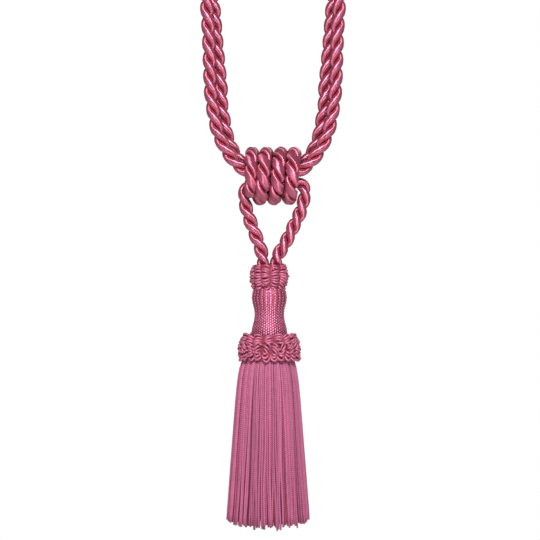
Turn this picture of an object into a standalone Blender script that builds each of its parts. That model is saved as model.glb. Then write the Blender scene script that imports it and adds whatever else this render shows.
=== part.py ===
"""A tassel tieback for curtains: a doubled embrace of twisted satin cord, bound at its middle in a
wound knot, with a cut tassel hanging from the knot on a loop of the same cord.

Metres, +Z up. The part hangs as in use: the origin is midway between the two hook eyes, at the
height where they bear on their hook. The front faces -Y.
"""

import math

import bmesh
import bpy
from mathutils import Vector
from mathutils.geometry import delaunay_2d_cdt

MM = 0.001
PIECE_GAP = 0.3 * MM

# The cord is two satin-covered strands laid round each other
STRAND_DEPTH_RADIUS = 2.1 * MM      # along the line that joins the two strands
STRAND_WIDTH_RADIUS = 2.7 * MM      # across it
GROOVE_HALF_WIDTH = 1.2 * MM
CORD_RADIUS = 2 * STRAND_DEPTH_RADIUS
FRONT_HALF_LAY = 10.1 * MM          # half a turn of the twist on the embrace's front cords
REAR_HALF_LAY = 9.45 * MM           # and on its rear cords, which are a little tighter
HANGER_HALF_LAY = 9.2 * MM          # on the hanger's left leg and in the binding
HANGER_RIGHT_HALF_LAY = 8.47 * MM   # on its right leg
SECTIONS_PER_HALF_LAY = 4
SQUEEZE = 0.93                      # the cord's size where the knot grips it
WOUND_SIZE = 0.96                   # its size in the binding
NECK_SQUEEZE = 0.88                 # and where the ruff grips it
CURVE_SPANS = 12                    # short runs between two points of a route

# Heights above the knot's centre at which a cord's two strands lie side by side, as seen from the front
EMBRACE_ANCHOR = 99.7 * MM
HANGER_LEFT_ANCHOR = -9.7 * MM
HANGER_RIGHT_ANCHOR = -14.8 * MM

# Heights are measured from the knot's centre, which hangs this far below the origin
KNOT_DROP = 150.8 * MM
EYE_RADIUS = 16.5 * MM              # bend of the hook eyes
EYE_CENTRE_X = -38.4 * MM
EYE_CENTRE_HEIGHT = KNOT_DROP + CORD_RADIUS - EYE_RADIUS
EYE_OPENING_ANGLE = 38              # degrees by which each leg of an eye leans
EYE_STEPS = 10

BINDING_PATH_RADIUS = 13.45 * MM

TASSEL_X = -2.2 * MM
LEG_APART = 3.95 * MM               # half the spacing of the hanger's legs in the neck ruff
HEAD_TOP = -64.3 * MM
COLLAR_TOP = HEAD_TOP - 33.3 * MM
COLLAR_TOP_RADIUS = 10.6 * MM
COLLAR_RADIUS = 12.0 * MM
COLLAR_SIDES = 48
COLLAR_FOOT = -104.5 * MM

# The front cord of the left side, from the knot's middle up to the eye: millimetres from the knot's
# centre, and the cord's size there
FRONT_LEG = (
    # x, y, height, size
    (-0.15, -4.9, 0.7, SQUEEZE),
    (-9.6, -4.9, 0.9, SQUEEZE),
    (-15.5, -4.7, 2.5, SQUEEZE),
    (-21.3, -4.4, 6.5, 0.97),
    (-26.5, -4.1, 13.0, 1.0),
    (-31.4, -3.95, 22.0, 1.0),
    (-34.0, -3.65, 29.7, 1.0),
    (-35.9, -3.4, 39.6, 1.0),
    (-37.2, -3.3, 48.9, 1.0),
    (-37.7, -3.35, 58.8, 1.0),
    (-38.3, -3.7, 78.6, 1.0),
    (-39.5, -3.9, 99.7, 1.0),
    (-40.6, -3.9, 108.5, 1.0),
)
# The rear cord of the left side, from the eye down to the knot's middle
REAR_LEG = (
    # x, y, height, size
    (-36.2, 3.9, 108.5, 1.0),
    (-35.4, 3.9, 99.1, 1.0),
    (-33.8, 3.7, 79.9, 1.0),
    (-32.0, 3.35, 61.4, 1.0),
    (-31.2, 3.3, 51.5, 1.0),
    (-30.9, 3.4, 42.1, 1.0),
    (-29.3, 3.6, 32.8, 1.0),
    (-27.3, 3.9, 23.3, 1.0),
    (-24.1, 4.1, 15.2, 1.0),
    (-21.0, 4.1, 11.0, 0.97),
    (-18.3, 3.1, 7.0, SQUEEZE),
    (-14.5, 2.3, 5.2, 0.88),
    (-9.0, 1.9, 4.9, SQUEEZE),
    (-0.15, 1.7, 5.1, SQUEEZE),
)
# The hanger, from the head's top up the left leg, through the knot and down the right leg
HANGER_ROUTE = (
    # x, y, height, size
    (-6.15, 0.0, -64.0, NECK_SQUEEZE),
    (-6.15, 0.0, -58.0, NECK_SQUEEZE),
    (-6.1, 0.0, -53.0, 0.9),
    (-6.3, 0.0, -48.5, 0.98),
    (-7.6, 0.0, -43.3, 1.0),
    (-10.0, 0.1, -36.7, 1.0),
    (-12.7, 0.2, -29.8, 1.0),
    (-15.0, 0.4, -22.9, 1.0),
    (-16.8, 0.6, -16.3, 0.97),
    (-17.2, 0.8, -10.6, SQUEEZE),
    (-15.6, 0.8, -6.7, SQUEEZE),
    (-11.8, 0.8, -5.6, SQUEEZE),
    (-5.0, 0.8, -5.6, SQUEEZE),
    (1.0, 0.8, -5.6, SQUEEZE),
    (7.0, 0.8, -5.6, SQUEEZE),
    (12.5, 0.8, -4.8, SQUEEZE),
    (15.9, 0.8, -4.6, SQUEEZE),
    (18.4, 0.8, -6.6, SQUEEZE),
    (19.1, 0.8, -9.9, SQUEEZE),
    (18.7, 0.7, -13.5, 0.95),
    (17.6, 0.6, -17.5, 0.97),
    (15.9, 0.4, -22.9, 1.0),
    (12.6, 0.2, -29.8, 1.0),
    (9.3, 0.1, -36.7, 1.0),
    (5.6, 0.0, -43.3, 1.0),
    (2.5, 0.0, -48.5, 0.98),
    (1.75, 0.0, -53.0, 0.9),
    (1.75, 0.0, -58.0, NECK_SQUEEZE),
    (1.75, 0.0, -64.0, NECK_SQUEEZE),
)
# The binding: degrees round the knot from its top, over the front; place along the knot; size
BINDING_ROUTE = (
    # turn, x, size
    (-80, 14.7, 0.8),
    (-45, 14.1, 0.84),
    (0, 13.0, WOUND_SIZE),
    (180, 9.9, WOUND_SIZE),
    (360, 4.75, WOUND_SIZE),
    (540, 1.3, WOUND_SIZE),
    (720, -3.8, WOUND_SIZE),
    (900, -8.2, WOUND_SIZE),
    (1080, -12.4, WOUND_SIZE),
    (1170, -13.2, 0.9),
    (1225, -13.8, 0.78),
)

# The binding's twist: degrees round the knot, and the half turns that its strands have made by there
BINDING_TWIST = (
    # turn, half turns
    (-80, -1.84),
    (90, 2.55),
    (450, 11.95),
    (810, 21.31),
    (1170, 30.18),
    (1225, 31.59),
)

# Profiles of the turned and gathered pieces, in millimetres below the knot's centre
HEAD_PROFILE = (
    # below the head's top, radius
    (0.0, 6.4),
    (0.9, 7.8),
    (2.6, 8.9),
    (5.2, 9.9),
    (8.6, 10.4),
    (12.0, 9.95),
    (15.5, 8.95),
    (19.0, 8.6),
    (23.0, 9.1),
    (27.0, 10.2),
    (33.0, 11.1),
)
HEAD_RIBS = 22
RIB_HEIGHT = 0.12 * MM

NECK_RUFF_PROFILE = (
    # below the knot, outer radius
    (52.9, 9.9),
    (54.6, 11.2),
    (57.6, 11.8),
    (61.0, 11.6),
    (64.4, 11.8),
    (67.2, 11.3),
    (68.6, 11.2),
)
NECK_RUFF_LOBES = 10
NECK_LOBE_DEPTH = 0.9 * MM
NECK_RUFF_FOOT_INSIDE = 10.0 * MM
NECK_RUFF_STEP = -63.6 * MM         # height at which its inside opens over the head

SKIRT_RUFF_PROFILE = (
    # below the knot, outer radius, share of half a lobe by which this row's lobes are turned
    (94.9, 14.6, 0.0),
    (97.0, 16.9, 0.0),
    (100.2, 18.0, 1.0),
    (103.4, 18.3, 0.0),
    (106.8, 18.6, 1.0),
    (110.0, 18.7, 0.0),
    (112.6, 17.9, 0.0),
)
SKIRT_RUFF_LOBES = 24
SKIRT_LOBE_DEPTH = 0.9 * MM
SKIRT_RUFF_INSIDE = (
    # below the knot, inner radius
    (112.4, 17.1),
    (105.0, 13.4),
    (98.4, 12.5),
    (95.3, 11.6),
)

SKIRT_PROFILE = (
    # below the knot, radius
    (104.5, 11.7),
    (112.0, 16.3),
    (134.5, 19.0),
    (158.0, 20.9),
    (210.0, 24.7),
)
THREAD_RINGS = (
    # threads, root radius, root width, foot radius, foot width, levels
    (54, 11.3, 1.0, 24.2, 2.1, 5),
    (40, 9.6, 1.0, 20.9, 2.2, 4),
    (20, 7.4, 1.4, 16.0, 2.4, 3),
    (8, 4.6, 1.6, 9.2, 2.6, 3),
)
SIDE_THREAD_FOOT = -204.6 * MM
FRONT_THREAD_FOOT = -211.6 * MM
FOOT_UNEVENNESS = 1.2 * MM
THREAD_SWAY = math.radians(0.5)
THREAD_LEVELS = (COLLAR_FOOT, -112.0 * MM, -134.5 * MM, -158.0 * MM)
INNER_RING_RADIUS = 10              # rings inside this root radius stand between the outer threads

PINK = (0.46, 0.095, 0.19, 1.0)
SHADED_PINK = (0.36, 0.06, 0.125, 1.0)
THREAD_PINK = (0.5, 0.13, 0.24, 1.0)


def empty_scene():
    for thing in list(bpy.data.objects):
        bpy.data.objects.remove(thing, do_unlink=True)


def satin(name, colour, roughness):
    """A dyed viscose finish for one piece."""
    material = bpy.data.materials.new(name)
    material.use_nodes = True
    shader = material.node_tree.nodes["Principled BSDF"]
    shader.inputs["Base Color"].default_value = colour
    shader.inputs["Roughness"].default_value = roughness
    shader.inputs["Metallic"].default_value = 0.0
    return material


def add_piece(name, points, faces, colour, roughness, smooth_angle=50):
    """One closed object, its faces turned outwards."""
    mesh = bpy.data.meshes.new(name)
    lowered = [(point[0], point[1], point[2] - KNOT_DROP) for point in points]
    mesh.from_pydata(lowered, [], faces)
    mesh.update()
    shape = bmesh.new()
    shape.from_mesh(mesh)
    bmesh.ops.recalc_face_normals(shape, faces=shape.faces[:])
    shape.to_mesh(mesh)
    shape.free()
    mesh.shade_smooth()
    mesh.set_sharp_from_angle(angle=math.radians(smooth_angle))
    mesh.materials.append(satin(name + "_satin", colour, roughness))
    piece = bpy.data.objects.new(name, mesh)
    bpy.context.scene.collection.objects.link(piece)
    return piece


def blend(low, high, share):
    return low + (high - low) * share


def from_table(rows, where, column):
    """The value in a column at a place given in the first column, between its two rows."""
    if where <= rows[0][0]:
        return rows[0][column]
    for low, high in zip(rows, rows[1:]):
        if where <= high[0]:
            return blend(low[column], high[column], (where - low[0]) / (high[0] - low[0]))
    return rows[-1][column]


def catmull_rom(before, start, end, after, share):
    """A point of the smooth curve through start and end."""
    linear = end - before
    square = 2 * before - 5 * start + 4 * end - after
    cubic = 3 * start - before - 3 * end + after
    return 0.5 * (2 * start + linear * share + square * share**2 + cubic * share**3)


def smooth_route(rows, step):
    """Even stations on the smooth curve through the rows: (centre, size, distance along it)."""
    knots = [Vector((row[0] * MM, row[1] * MM, row[2] * MM, row[3])) for row in rows]
    knots = [2 * knots[0] - knots[1]] + knots + [2 * knots[-1] - knots[-2]]
    dense = []
    for before, start, end, after in zip(knots, knots[1:], knots[2:], knots[3:]):
        dense += [catmull_rom(before, start, end, after, k / CURVE_SPANS)
                  for k in range(CURVE_SPANS)]
    dense.append(knots[-2])
    along = [0.0]
    for near, far in zip(dense, dense[1:]):
        along.append(along[-1] + (far.xyz - near.xyz).length)
    count = max(2, round(along[-1] / step))
    stations = []
    piece = 0
    for k in range(count + 1):
        target = along[-1] * k / count
        while piece < len(dense) - 2 and along[piece + 1] < target:
            piece += 1
        share = (target - along[piece]) / (along[piece + 1] - along[piece])
        point = dense[piece].lerp(dense[piece + 1], share)
        stations.append((point.xyz, point.w, target))
    return stations


def cord_outline():
    """The section of a two-strand cord: (along the line that joins the strands, across it)."""
    outline = []
    for side in (1, -1):
        for angle in (-105, -30, 30, 105):
            turn = math.radians(angle)
            along = STRAND_DEPTH_RADIUS * (1 + math.cos(turn))
            outline.append((side * along, side * STRAND_WIDTH_RADIUS * math.sin(turn)))
        outline.append((0.0, side * GROOVE_HALF_WIDTH))
    return outline


def twist(stations, anchors, lays, hand):
    """Each station's angle of twist. The strands stand side by side at the two anchor distances,
    with a whole number of half turns between them; each end has its own half lay."""
    first, last = anchors
    between = round((last - first) / (0.5 * (lays[0] + lays[1])))
    angles = []
    for _, _, along in stations:
        if along < first:
            half_turns = (along - first) / lays[0]
        elif along > last:
            half_turns = between + (along - last) / lays[1]
        else:
            half_turns = between * (along - first) / (last - first)
        angles.append(math.pi * (0.5 + hand * half_turns))
    return angles


def place_at_height(stations, height):
    """The distance along a leg at which it passes a height."""
    for (low, _, start), (high, _, end) in zip(stations, stations[1:]):
        if (low.z - height) * (high.z - height) <= 0:
            return blend(start, end, (height - low.z) / (high.z - low.z))
    raise ValueError(f"the leg doesn't pass the height {height}")


def outer_diagonal(corners, centre):
    """A quad as two triangles, split so that its middle stands out from the cord's centre."""
    a, b, c, d = corners
    first = (a[1] + c[1]) / 2 - centre
    second = (b[1] + d[1]) / 2 - centre
    if first.length >= second.length:
        return [(a[0], b[0], c[0]), (a[0], c[0], d[0])]
    return [(a[0], b[0], d[0]), (b[0], c[0], d[0])]


def cord_mesh(stations, angles, references):
    """Sweeps the cord's outline along the stations; references give the zero of the twist."""
    outline = cord_outline()
    count = len(outline)
    points = []
    faces = []
    for k, (centre, size, _) in enumerate(stations):
        tangent = stations[min(k + 1, len(stations) - 1)][0] - stations[max(k - 1, 0)][0]
        tangent.normalize()
        normal = references[k] - tangent * references[k].dot(tangent)
        normal.normalize()
        across = tangent.cross(normal)
        joining = normal * math.cos(angles[k]) + across * math.sin(angles[k])
        beside = across * math.cos(angles[k]) - normal * math.sin(angles[k])
        points += [centre + size * (u * joining + v * beside) for u, v in outline]
    for k in range(len(stations) - 1):
        middle = (stations[k][0] + stations[k + 1][0]) / 2
        for j in range(count):
            following = (j + 1) % count
            ring = k * count
            corners = [ring + j, ring + following, ring + count + following, ring + count + j]
            faces += outer_diagonal([(index, points[index]) for index in corners], middle)
    faces.append(tuple(reversed(range(count))))
    faces.append(tuple(range(len(points) - count, len(points))))
    return points, faces


def mirrored(points, faces):
    return [(-x, y, z) for x, y, z in points], [tuple(reversed(face)) for face in faces]


def eye_route():
    """The bight that forms the hook eye, from the front leg over to the rear leg."""
    rows = []
    sweep = 180 + 2 * EYE_OPENING_ANGLE
    depth = FRONT_LEG[-1][1]
    for k in range(EYE_STEPS + 1):
        share = k / EYE_STEPS
        angle = math.radians(180 + EYE_OPENING_ANGLE - sweep * share)
        x = EYE_CENTRE_X + EYE_RADIUS * math.cos(angle)
        height = EYE_CENTRE_HEIGHT + EYE_RADIUS * math.sin(angle)
        rows.append((x / MM, blend(depth, -depth, share), height / MM, 1.0))
    return tuple(rows)


def build_embrace():
    """The two doubled cords: S lay on the left, its mirror image on the right."""
    step = FRONT_HALF_LAY / SECTIONS_PER_HALF_LAY
    stations = smooth_route(FRONT_LEG + eye_route() + REAR_LEG, step)
    halfway = len(stations) // 2
    front = place_at_height(stations[:halfway], EMBRACE_ANCHOR)
    rear = place_at_height(stations[halfway:], EMBRACE_ANCHOR)
    lays = (FRONT_HALF_LAY, REAR_HALF_LAY)
    angles = twist(stations, (front, rear), lays, -1)
    backwards = [Vector((0, 1, 0))] * len(stations)
    points, faces = cord_mesh(stations, angles, backwards)
    add_piece("embrace_cord_left", points, faces, PINK, 0.35)
    add_piece("embrace_cord_right", *mirrored(points, faces), PINK, 0.35)


def build_hanger():
    stations = smooth_route(HANGER_ROUTE, HANGER_HALF_LAY / SECTIONS_PER_HALF_LAY)
    halfway = len(stations) // 2
    left = place_at_height(stations[:halfway], HANGER_LEFT_ANCHOR)
    right = place_at_height(stations[halfway:], HANGER_RIGHT_ANCHOR)
    angles = twist(stations, (left, right), (HANGER_HALF_LAY, HANGER_RIGHT_HALF_LAY), -1)
    backwards = [Vector((0, 1, 0))] * len(stations)
    add_piece("hanger_cord", *cord_mesh(stations, angles, backwards), PINK, 0.35)


def build_binding():
    """The cord wound round the knot; its ends are tucked in at the back and under the left side."""
    first, last = BINDING_ROUTE[0][0], BINDING_ROUTE[-1][0]
    length = math.radians(last - first) * BINDING_PATH_RADIUS
    count = round(length / (HANGER_HALF_LAY / SECTIONS_PER_HALF_LAY))
    stations = []
    references = []
    angles = []
    for k in range(count + 1):
        turn = blend(first, last, k / count)
        x = from_table(BINDING_ROUTE, turn, 1) * MM
        size = from_table(BINDING_ROUTE, turn, 2)
        outward = Vector((0, -math.sin(math.radians(turn)), math.cos(math.radians(turn))))
        centre = Vector((x, 0, 0)) + outward * BINDING_PATH_RADIUS
        stations.append((centre, size, length * k / count))
        references.append(outward)
        angles.append(math.pi * (0.5 - from_table(BINDING_TWIST, turn, 1)))
    add_piece("binding_cord", *cord_mesh(stations, angles, references), PINK, 0.35)


def ring_faces(rows, count, closed):
    """Faces between rows of points that run round a turned piece; closed joins last row to first."""
    faces = []
    for row in range(rows if closed else rows - 1):
        low = row * count
        high = ((row + 1) % rows) * count
        for j in range(count):
            following = (j + 1) % count
            faces.append((low + j, low + following, high + following, high + j))
    return faces


def around(radius, angle, height):
    return Vector((TASSEL_X + radius * math.sin(angle), -radius * math.cos(angle), height))


def build_head():
    """The turned mould under its ribs of stitches."""
    count = 2 * HEAD_RIBS
    points = []
    for below, radius in HEAD_PROFILE:
        for j in range(count):
            rib = RIB_HEIGHT if j % 2 else -RIB_HEIGHT
            points.append(around(radius * MM + rib, 2 * math.pi * j / count, HEAD_TOP - below * MM))
    faces = ring_faces(len(HEAD_PROFILE), count, closed=False)
    faces.append(tuple(reversed(range(count))))
    faces.append(tuple(range(len(points) - count, len(points))))
    add_piece("tassel_head", points, faces, SHADED_PINK, 0.4, smooth_angle=60)


def lobe_dip(angle, lobes, depth, turned):
    """How far the surface draws in between the lobes of a ruff."""
    phase = lobes * angle / 2 + turned * math.pi / 2
    return depth * (1 - abs(math.cos(phase)))


def neck_hole_radius(angle):
    """The slot that lets the hanger's two legs through, as a radius about the tassel's axis."""
    leg = NECK_SQUEEZE * CORD_RADIUS + PIECE_GAP
    side = abs(math.sin(angle))
    ahead = abs(math.cos(angle))
    if side * leg < ahead * LEG_APART:
        return leg / ahead
    reach = LEG_APART * side
    return reach + math.sqrt(reach**2 - LEG_APART**2 + leg**2)


def build_neck_ruff():
    """Lobed ruff round the foot of the hanger; its inside is a slot above and opens over the head."""
    count = 4 * NECK_RUFF_LOBES
    points = []
    for below, radius in NECK_RUFF_PROFILE:
        for j in range(count):
            angle = 2 * math.pi * j / count
            dip = lobe_dip(angle + math.pi / NECK_RUFF_LOBES, NECK_RUFF_LOBES, NECK_LOBE_DEPTH, 0)
            points.append(around(radius * MM - dip, angle, -below * MM))
    foot = -NECK_RUFF_PROFILE[-1][0] * MM
    top = -NECK_RUFF_PROFILE[0][0] * MM
    for height in (foot, NECK_RUFF_STEP, NECK_RUFF_STEP, top):
        slot = len(points) >= count * (len(NECK_RUFF_PROFILE) + 2)
        for j in range(count):
            angle = 2 * math.pi * j / count
            radius = neck_hole_radius(angle) if slot else NECK_RUFF_FOOT_INSIDE
            points.append(around(radius, angle, height))
    rows = len(points) // count
    add_piece("neck_ruff", points, ring_faces(rows, count, closed=True), SHADED_PINK, 0.5)


def build_skirt_ruff():
    """Ruff round the foot of the head, in rows of staggered loops."""
    count = 2 * SKIRT_RUFF_LOBES
    points = []
    for below, radius, turned in SKIRT_RUFF_PROFILE:
        for j in range(count):
            angle = 2 * math.pi * j / count
            dip = lobe_dip(angle, SKIRT_RUFF_LOBES, SKIRT_LOBE_DEPTH, turned)
            points.append(around(radius * MM - dip, angle, -below * MM))
    for below, radius in SKIRT_RUFF_INSIDE:
        for j in range(count):
            points.append(around(radius * MM, 2 * math.pi * j / count, -below * MM))
    rows = len(points) // count
    add_piece("skirt_ruff", points, ring_faces(rows, count, closed=True), SHADED_PINK, 0.5)


def thread_sections(ring, number):
    """The triangles along one thread of the skirt, from its root to its foot."""
    threads, root_radius, root_width, foot_radius, foot_width, levels = ring
    angle = 2 * math.pi * (number + 0.5 * (root_radius < INNER_RING_RADIUS)) / threads
    front = 0.5 + 0.5 * abs(math.cos(angle))
    foot = blend(SIDE_THREAD_FOOT, FRONT_THREAD_FOOT, front)
    foot += FOOT_UNEVENNESS * math.sin(7.3 * number + root_radius)
    sway = THREAD_SWAY * math.sin(2.7 * number + root_radius)
    top_profile = SKIRT_PROFILE[0][1]
    foot_profile = SKIRT_PROFILE[-1][1]
    heights = list(THREAD_LEVELS[: levels - 1]) + [foot]
    sections = []
    for level, height in enumerate(heights):
        spread = from_table(SKIRT_PROFILE, -height / MM, 1) - top_profile
        spread /= foot_profile - top_profile
        radius = blend(root_radius, foot_radius, spread) * MM
        width = blend(root_width, foot_width, spread) * MM
        turn = angle + sway * level / (levels - 1)
        ridge = radius + width * math.sqrt(3) / 3
        back = radius - width * math.sqrt(3) / 6
        aside = math.atan2(width / 2, back)
        hypot = math.hypot(width / 2, back)
        sections.append(
            (
                around(ridge, turn, height),
                around(hypot, turn + aside, height),
                around(hypot, turn - aside, height),
            )
        )
    return sections


def build_skirt():
    """A collar with its threads drawn down from its foot, each a three-sided strand."""
    count = COLLAR_SIDES
    points = []
    for height, radius in ((COLLAR_TOP, COLLAR_TOP_RADIUS), (COLLAR_FOOT, COLLAR_RADIUS)):
        points += [around(radius, 2 * math.pi * j / count, height) for j in range(count)]
    faces = ring_faces(2, count, closed=False)
    faces.append(tuple(range(count)))
    rim = list(range(count, 2 * count))
    threads = [thread_sections(ring, number) for ring in THREAD_RINGS for number in range(ring[0])]
    roots = []
    for sections in threads:
        start = len(points)
        for section in sections:
            points += section
        for level in range(len(sections) - 1):
            for j in range(3):
                low = start + 3 * level
                following = (j + 1) % 3
                faces.append((low + j, low + following, low + 3 + following, low + 3 + j))
        foot = start + 3 * (len(sections) - 1)
        faces.append((foot, foot + 1, foot + 2))
        roots.append((start, start + 1, start + 2))
    flat = rim + [index for root in roots for index in root]
    place = {index: number for number, index in enumerate(flat)}
    outlines = [[place[index] for index in rim]] + [[place[i] for i in root] for root in roots]
    corners = [Vector((points[index][0], points[index][1])) for index in flat]
    _, _, filled, same, _, owners = delaunay_2d_cdt(corners, [], outlines, 1, 1e-9)
    for face, owner in zip(filled, owners):
        if owner == [0]:
            faces.append(tuple(flat[same[corner][0]] for corner in face))
    add_piece("skirt", points, faces, THREAD_PINK, 0.7, smooth_angle=30)


def build_tieback():
    empty_scene()
    build_embrace()
    build_hanger()
    build_binding()
    build_neck_ruff()
    build_head()
    build_skirt_ruff()
    build_skirt()


build_tieback()
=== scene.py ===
"""Looks of the curtain tieback: twisted satin cords, gimp ruffs, the stitched head and the cut skirt."""

import math
import random

import bpy
import numpy as np
from bpy.props import FloatProperty, FloatVectorProperty, IntProperty, PointerProperty
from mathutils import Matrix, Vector


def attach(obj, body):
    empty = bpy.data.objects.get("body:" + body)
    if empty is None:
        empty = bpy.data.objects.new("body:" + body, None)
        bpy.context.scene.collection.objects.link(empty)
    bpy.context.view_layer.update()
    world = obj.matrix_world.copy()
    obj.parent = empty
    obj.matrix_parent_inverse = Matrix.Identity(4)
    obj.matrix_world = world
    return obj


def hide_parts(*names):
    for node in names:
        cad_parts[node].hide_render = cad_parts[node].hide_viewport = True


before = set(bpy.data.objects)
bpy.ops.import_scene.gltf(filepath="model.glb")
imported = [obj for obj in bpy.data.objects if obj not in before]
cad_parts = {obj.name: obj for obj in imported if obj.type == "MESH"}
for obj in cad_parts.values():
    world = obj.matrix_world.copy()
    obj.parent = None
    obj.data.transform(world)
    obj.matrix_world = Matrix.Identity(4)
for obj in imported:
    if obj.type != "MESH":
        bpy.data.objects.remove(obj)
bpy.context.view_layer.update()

bl_info = {
    "name": "Curtain tieback",
    "version": (1, 0, 0),
    "blender": (4, 5, 0),
    "location": "View3D > Sidebar > Tieback",
    "description": "Lays the cords, ruffs, head and skirt of a tassel tieback over its frame",
    "category": "Add Mesh",
}

MM = 0.001
MERGE_DISTANCE = 0.01 * MM

# The stage in metres: place and size of each soft light, and the point that all of them face
CAMERA_PLACE = (-0.0018, -1.5, -0.2073)
CAMERA_LENS_MM = 166.7
CAMERA_SENSOR_MM = 36.0
CAMERA_REACH = 20.0
KEY_LIGHT = ((0.0, -1.2, 0.5), (0.7, 0.08))
FRONT_LIGHT = ((0.05, -1.2, -0.55), (0.12, 0.6))
BACK_LIGHT = ((0.3, 1.3, 0.35), (0.8, 0.8))
LIGHT_AIM = (0.0, 0.0, -0.2)
FLOOR_RADIUS = 0.42
FLOOR_HEIGHT = -0.42
FLOOR_SIDES = 96
WHITE = (1.0, 1.0, 1.0, 1.0)
MATTE_ROUGHNESS = 0.9

# Heights of the pieces are measured from the knot's centre, which hangs this far below the origin
KNOT_DROP = 150.8 * MM
TASSEL_X = -2.2 * MM
CORD_RADIUS = 4.2 * MM

# A cord's share of its free size where it is pressed: in the knot, wound round it, in the neck ruff
SQUEEZE = 0.93
WOUND_SIZE = 0.99
NECK_SQUEEZE = 0.88

# Steps between two rows of a route, and the distances between the stations of a cord
CURVE_SPANS = 12
EMBRACE_STEP = 0.8 * MM
KNOT_STEP = 0.7 * MM

# The hook eyes: radius and middle of their bend, and the degrees by which their legs lean
EYE_RADIUS = 16.5 * MM
EYE_CENTRE_X = -38.4 * MM
EYE_OPENING_ANGLE = 38
EYE_STEPS = 10

# Heights at which a cord's two strands lie side by side
EMBRACE_ANCHOR = 99.7 * MM
HANGER_LEFT_ANCHOR = -9.7 * MM
HANGER_RIGHT_ANCHOR = -14.8 * MM
S_LAY = -1
BINDING_PATH_RADIUS = 13.45 * MM
# The binding's strands are this much wider than those of a free cord
BINDING_FULLNESS = 1.18
# How far a strand's thickness varies, how fast, and how far the two strands' tones are from the middle
SWELLING = 0.012
SWELLING_PACE = 0.37
STRAND_TONE = 0.2

# A ruff's loop: radians it runs on either side of its crest, its points, how deep its ends dive
LOOP_REACH = 1.75
LOOP_POINTS = 17
LOOP_DIVE = -0.2
GIMP_SIDES = 7
PICOT_POINTS = 11
PICOT_SIDES = 6
# Painted shade over all of a picot
PICOT_SHADE = 0.1

# Routes of the cords, as they lie in the frame: x, y, height in millimetres, size
FRONT_LEG = (
    (-0.15, -4.9, 0.7, SQUEEZE),
    (-9.6, -4.9, 0.9, SQUEEZE),
    (-15.5, -4.7, 2.5, SQUEEZE),
    (-21.3, -4.4, 6.5, 0.97),
    (-26.5, -4.1, 13.0, 1.0),
    (-31.4, -3.95, 22.0, 1.0),
    (-34.0, -3.65, 29.7, 1.0),
    (-35.9, -3.4, 39.6, 1.0),
    (-37.2, -3.3, 48.9, 1.0),
    (-37.7, -3.35, 58.8, 1.0),
    (-38.3, -3.7, 78.6, 1.0),
    (-39.5, -3.9, 99.7, 1.0),
    (-40.6, -3.9, 108.5, 1.0),
)
REAR_LEG = (
    (-36.2, 3.9, 108.5, 1.0),
    (-35.4, 3.9, 99.1, 1.0),
    (-33.8, 3.7, 79.9, 1.0),
    (-32.0, 3.35, 61.4, 1.0),
    (-31.2, 3.3, 51.5, 1.0),
    (-30.9, 3.4, 42.1, 1.0),
    (-29.3, 3.6, 32.8, 1.0),
    (-27.3, 3.9, 23.3, 1.0),
    (-24.1, 4.1, 15.2, 1.0),
    (-21.0, 4.1, 11.0, 0.97),
    (-18.3, 3.1, 7.0, SQUEEZE),
    (-14.5, 2.3, 5.2, 0.88),
    (-9.0, 1.9, 4.9, SQUEEZE),
    (-0.15, 1.7, 5.1, SQUEEZE),
)
HANGER_ROUTE = (
    (-6.15, 0.0, -64.0, NECK_SQUEEZE),
    (-6.15, 0.0, -58.0, NECK_SQUEEZE),
    (-6.1, 0.0, -53.0, 0.9),
    (-6.3, 0.0, -48.5, 0.98),
    (-7.6, 0.0, -43.3, 1.0),
    (-10.0, 0.1, -36.7, 1.0),
    (-12.7, 0.2, -29.8, 1.0),
    (-15.0, 0.4, -22.9, 1.0),
    (-16.8, 0.6, -16.3, 0.97),
    (-17.2, 0.8, -10.6, SQUEEZE),
    (-15.6, 0.8, -6.7, SQUEEZE),
    (-11.8, 0.8, -5.6, SQUEEZE),
    (-5.0, 0.8, -5.6, SQUEEZE),
    (1.0, 0.8, -5.6, SQUEEZE),
    (7.0, 0.8, -5.6, SQUEEZE),
    (12.5, 0.8, -4.8, SQUEEZE),
    (15.9, 0.8, -4.6, SQUEEZE),
    (18.4, 0.8, -6.6, SQUEEZE),
    (19.1, 0.8, -9.9, SQUEEZE),
    (18.7, 0.7, -13.5, 0.95),
    (17.6, 0.6, -17.5, 0.97),
    (15.9, 0.4, -22.9, 1.0),
    (12.6, 0.2, -29.8, 1.0),
    (9.3, 0.1, -36.7, 1.0),
    (5.6, 0.0, -43.3, 1.0),
    (2.5, 0.0, -48.5, 0.98),
    (1.75, 0.0, -53.0, 0.9),
    (1.75, 0.0, -58.0, NECK_SQUEEZE),
    (1.75, 0.0, -64.0, NECK_SQUEEZE),
)
# Degrees round the knot from its top, over the front; place along the knot; size
BINDING_ROUTE = (
    (-80, 14.7, 0.8),
    (-45, 14.1, 0.84),
    (0, 12.85, WOUND_SIZE),
    (180, 9.9, WOUND_SIZE),
    (270, 7.3, WOUND_SIZE),
    (315, 6.8, WOUND_SIZE),
    (360, 4.95, WOUND_SIZE),
    (540, 0.8, 1.02),
    (585, -1.7, WOUND_SIZE),
    (640, -1.65, WOUND_SIZE),
    (720, -3.8, WOUND_SIZE),
    (900, -7.85, 1.02),
    (1080, -12.4, WOUND_SIZE),
    (1170, -13.2, 0.9),
    (1225, -13.8, 0.78),
)

# Degrees round the knot, half turns of the binding's twist
BINDING_TWIST = (
    (-80, -1.84),
    (90, 2.55),
    (450, 11.95),
    (810, 21.31),
    (1170, 30.18),
    (1225, 31.59),
)

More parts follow.
